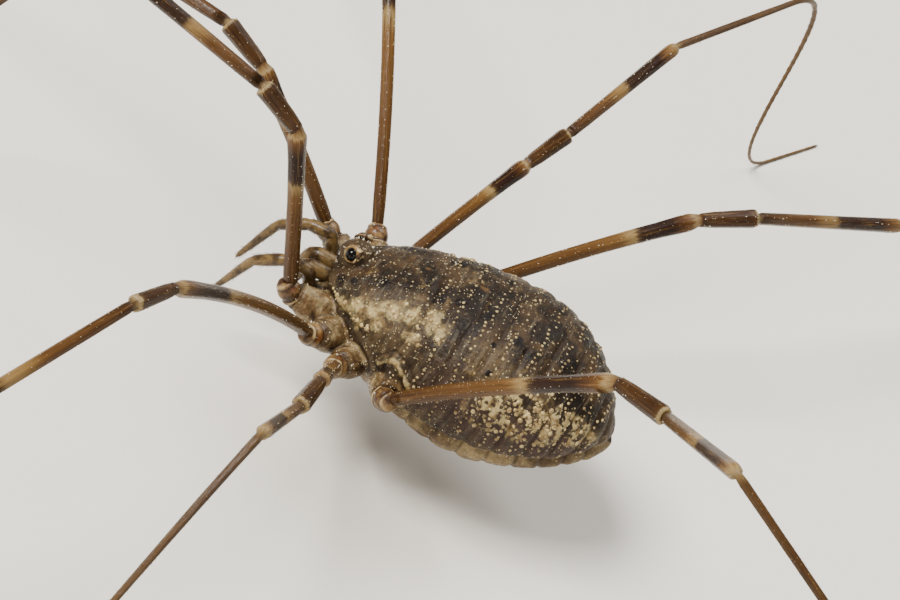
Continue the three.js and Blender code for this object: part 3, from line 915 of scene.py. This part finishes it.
def legStations(number, way, pose):
    size = legSizes[number]
    shift = bandShift["left" if way > 0 else "right"][number]
    hip = Vector(legRoots[number]["hip"])
    hip.x *= way
    femurWay = heading(pose["femur"], way)
    knee = hip + femurWay * size["femur"]
    shin = knee + heading(pose["patella"], way) * size["patella"]
    ankle = shin + heading(pose["tibia"], way) * size["tibia"]
    middle = (hip + knee) / 2 + Vector((0, 0, 2 * size["bow"]))
    arch = [i / 80 for i in range(81)]
    femur = [hip * (1 - t) ** 2 + middle * 2 * t * (1 - t) + knee * t * t for t in arch]
    footWay = heading(pose["foot"], way)
    foot = footLine(ankle, footWay, size["metatarsus"] + size["tarsus"], pose.get("straight", 0))
    runs = [
        ("femur", femur, legDetail["fromHip"], size["femur"]),
        ("patella", [knee, shin], 0, size["patella"]),
        ("tibia", [shin, ankle], 0, size["tibia"]), ("metatarsus", foot, 0, size["metatarsus"]),
        ("tarsus", foot, size["metatarsus"], size["metatarsus"] + size["tarsus"]),
    ]
    stations = []
    for index, (name, points, start, end) in enumerate(runs):
        total = size[name]
        form = legForms[name]
        steps = max(8, round(total / legDetail["tarsusStep" if name == "tarsus" else "step"]))
        shares = legDetail["ends"] + [i / steps for i in range(steps)]
        shares = sorted(set(round(share, 4) for share in shares))
        if index == len(runs) - 1:
            shares.append(1)
        dense = spacedPoints(points, start, end, 0.02)
        for share in shares:
            point = dense[min(len(dense) - 1, round(share * (len(dense) - 1)))]
            radius = radiusAt(form, share) * size["stout"]
            if name == "tarsus" and 0.02 < share < 0.98:
                along = share * total / legDetail["ringEvery"]
                radius *= 1 + legDetail["ringSwell"] * math.cos(math.tau * along)
            band = share + shift * math.sin(math.pi * share) if name == "femur" else share
            stations.append((point, radius, index + band))
    return stations


# the way forward and two ways across at each station, turned as little as the line allows
def framesAlong(stations):
    last = len(stations) - 1
    side = None
    for i in range(len(stations)):
        forward = (stations[min(last, i + 1)][0] - stations[max(0, i - 1)][0]).normalized()
        if side is None:
            side = forward.cross(Vector((0, 0, 1))).normalized()
        side = (side - forward * side.dot(forward)).normalized()
        yield forward, side, side.cross(forward)


def tubeFaces(around, rings):
    last = (rings - 1) * around
    return sideFaces(around, rings) + [tuple(reversed(range(around))), tuple(range(last, last + around))]


def buildTube(name, stations, around, ridges=0, ridgeHeight=0.0):
    points = []
    grain = []
    stage = []
    travelled = 0.0
    before = stations[0][0]
    for (centre, radius, share), (_, side, up) in zip(stations, framesAlong(stations)):
        travelled += (centre - before).length
        before = centre
        for k in range(around):
            turn = math.tau * k / around
            size = radius * (1 + ridgeHeight * math.cos(ridges * turn)) if ridges else radius
            points.append(centre + outAt(side, up, turn) * size)
            grain.extend((math.cos(turn), math.sin(turn), travelled * 0.22))
            stage.append(share)
    piece = meshPiece(name, points, tubeFaces(around, len(stations)))
    storeValues(piece, "grain", grain)
    storeValues(piece, "stage", stage)
    makeActive(piece)
    bpy.ops.object.mode_set(mode="EDIT")
    bpy.ops.mesh.select_all(action="SELECT")
    bpy.ops.mesh.normals_make_consistent(inside=False)
    bpy.ops.object.mode_set(mode="OBJECT")
    return piece


def legSpines(stations):
    denticles = []
    bristles = []
    for (centre, radius, share), (forward, side, up) in zip(stations, framesAlong(stations)):
        if share < 3 and 0.06 < share % 1 < 0.95:
            for k in range(legDetail["ridges"]):
                if random.random() < (0.4 if share < 1.95 else 0.25):
                    turn = math.tau * k / legDetail["ridges"] + random.uniform(-0.12, 0.12)
                    out = outAt(side, up, turn)
                    place = centre + out * radius * (1 + legDetail["ridgeHeight"]) * 0.97
                    place += forward * random.uniform(-0.06, 0.06)
                    size = random.uniform(0.008, 0.019)
                    denticles.append((place, out + forward * 0.6, size, size * random.uniform(1.6, 3.4)))
        if share > 1.1 and random.random() < 0.75:
            for _ in range(2 if share < 3 else 3):
                turn = random.uniform(0, math.tau)
                out = outAt(side, up, turn)
                reach = random.uniform(0.07, 0.13) if share > 3 else random.uniform(0.06, 0.1)
                direction = (out * 0.6 + forward).normalized()
                place = centre + out * radius * 0.95
                if place.z + direction.z * reach > -body["floorDepth"] + 0.01:
                    bristles.append((place, direction, 0.006, reach))
    return denticles, bristles


# a turned cup: distance along its axis, radius, how pale the rim is, how dark the groove is
trochanterTurn = [
    (-0.36, 0.2, 0, 1), (-0.33, 0.3, 0.2, 0), (-0.27, 0.345, 1, 0), (-0.22, 0.35, 0.8, 0),
    (-0.19, 0.315, 0, 1), (-0.15, 0.305, 0, 0.8), (-0.11, 0.335, 0, 0.1), (0, 0.36, 0, 0),
    (0.1, 0.35, 0, 0), (0.19, 0.315, 0, 0.2), (0.23, 0.29, 0, 0.9), (0.27, 0.3, 0.5, 0.1),
    (0.31, 0.285, 1, 0), (0.34, 0.25, 0.5, 0), (0.35, 0.19, 0, 0.3),
]


def buildTrochanter(name, hip, axis):
    across = axis.orthogonal().normalized()
    other = axis.cross(across)
    around = 36
    points = []
    rims = []
    grooves = []
    for along, radius, rim, groove in trochanterTurn:
        for k in range(around):
            turn = math.tau * k / around
            place = outAt(across, other, turn) * radius + axis * along
            lump = 1 + 0.09 * noise.noise((hip + place) * 4) + 0.05 * noise.noise((hip + place) * 11)
            points.append(hip + place * lump)
            rims.append(rim)
            grooves.append(groove)
    piece = meshPiece(name, points, tubeFaces(around, len(trochanterTurn)))
    storeValues(piece, "rim", rims)
    storeValues(piece, "groove", grooves)
    applyModifier(piece, "SUBSURF", "rounded", levels=1, render_levels=1)
    return piece


print("legs")
for (sideName, way), poses in zip(sides, (leftPose, rightPose)):
    for number in range(len(legSizes)):
        stations = legStations(number, way, poses[number])
        label = "leg%d_%s" % (number + 1, sideName)
        tube = buildTube(label + "_skin", stations, legDetail["around"], legDetail["ridges"],
                         legDetail["ridgeHeight"])
        nodes = ["leg%d_%s_%s" % (number + 1, part, sideName)
                 for part in ("femur", "patella", "tibia", "metatarsus", "tarsus")]
        finishPiece(tube, legMaterial, nodes)
        denticles, bristles = legSpines(stations)
        whiteTips = repeatBumps(label + "_denticles", denticles, 4, cone)
        finishPiece(whiteTips, whiteMaterial, smooth=False)
        darkHairs = repeatBumps(label + "_bristles", bristles, 3, cone)
        finishPiece(darkHairs, hairMaterial, smooth=False)
        hip, root = (Vector(legRoots[number][name]) for name in ("hip", "coxa"))
        hip.x *= way
        root.x *= way
        axis = ((hip - root).normalized() + heading(poses[number]["femur"], way) * 0.9).normalized()
        cup = buildTrochanter(label + "_hip", hip, axis)
        finishPiece(cup, trochanterMaterial,
                    ["leg%d_trochanter_%s" % (number + 1, sideName)])


# mouthparts: the left ones' joints, their radii there, and the bristles at each station
palpForm = {
    "joints": [(0.72, -4.72, -0.95), (0.98, -5.2, 0.3), (1.0, -5.95, 0.16), (1.0, -6.72, -0.48),
               (0.86, -7.3, -2.2)],
    "radii": [0.17, 0.18, 0.18, 0.15, 0.07], "bristles": 14,
}
jawForm = {
    "joints": [(0.3, -4.55, -0.02), (0.34, -5.35, -0.1), (0.34, -5.5, -0.55), (0.3, -5.55, -1.2)],
    "radii": [0.2, 0.23, 0.22, 0.07], "bristles": 6,
}


def limbStations(form, way):
    stations = []
    radii = form["radii"]
    places = [Vector((x * way, y, z)) for x, y, z in form["joints"]]
    for i, (a, b) in enumerate(zip(places, places[1:])):
        for k in range(12):
            t = k / 12
            pinch = 0.82 if (k == 0 and i) else 1
            swellBy = 1 + 0.12 * math.sin(math.pi * t)
            radius = radii[i] * (1 - t) + radii[i + 1] * t
            stations.append((a.lerp(b, t), radius * swellBy * pinch, i + t))
    stations.append((places[-1], radii[-1] * 0.5, len(places) - 1))
    return stations


def limbHairs(stations, perStation):
    hairs = []
    for (centre, radius, _), (ahead, _, _) in zip(stations, stations[1:]):
        forward = (ahead - centre).normalized()
        across = forward.orthogonal().normalized()
        other = forward.cross(across)
        for _ in range(perStation):
            turn = random.uniform(0, math.tau)
            out = outAt(across, other, turn)
            place = centre.lerp(ahead, random.random()) + out * radius * 0.97
            hairs.append((place, out * 0.7 + forward, 0.006, random.uniform(0.07, 0.14)))
    return hairs


print("mouthparts")
for sideName, way in sides:
    stations = limbStations(palpForm, way)
    palp = buildTube("palp_" + sideName + "_skin", stations, 20)
    finishPiece(palp, palpMaterial, ["palp_upper_" + sideName, "palp_lower_" + sideName])
    jawStations = limbStations(jawForm, way)
    jaw = buildTube("chelicera_" + sideName + "_skin", jawStations, 20)
    finishPiece(jaw, palpMaterial, ["chelicera_" + sideName])
    hairs = limbHairs(stations, palpForm["bristles"]) + limbHairs(jawStations, jawForm["bristles"])
    mouthHairs = repeatBumps("mouthHairs_" + sideName, hairs, 3, cone)
    finishPiece(mouthHairs, hairMaterial, smooth=False)


# floor and soft studio light
studio = {"floorSize": 4, "room": 0.24, "roomColor": (0.9, 0.88, 0.85, 1)}
# each light's place, size, power and colour
lights = {
    "keyLight": ((0.4, -0.64, 1.04), 0.5, 37, (1, 0.97, 0.92)),
    "fillLight": ((0.88, 0.8, 0.56), 0.8, 4.5, (1, 0.98, 0.95)),
    "topLight": ((-0.64, 0.12, 0.96), 0.8, 10, (1, 1, 1)),
}
print("studio")
deselectAll()
bpy.ops.mesh.primitive_plane_add(size=studio["floorSize"], location=(0, 0, 0))
floor = bpy.context.object
floor.name = "floor"
floorBench = NodeBench("paleFloor", 0.75, 0.3)
floorNoise = floorBench.noise(floorBench.place(), 60, 3)
floorColor = floorBench.mix(floorNoise, tint(226, 221, 211), tint(232, 227, 218))
floor.data.materials.append(floorBench.finish(floorColor))

for name, (place, size, power, color) in lights.items():
    deselectAll()
    bpy.ops.object.light_add(type="AREA", location=place)
    lamp = bpy.context.object
    lamp.name = name
    lamp.data.size = size
    lamp.data.energy = power
    lamp.data.color = color
    lamp.rotation_euler = (placeOfBody - Vector(place)).to_track_quat("-Z", "Y").to_euler()
world = bpy.data.worlds.new("room")
world.use_nodes = True
background = world.node_tree.nodes["Background"]
background.inputs["Color"].default_value = studio["roomColor"]
background.inputs["Strength"].default_value = studio["room"]
bpy.context.scene.world = world

print("done")
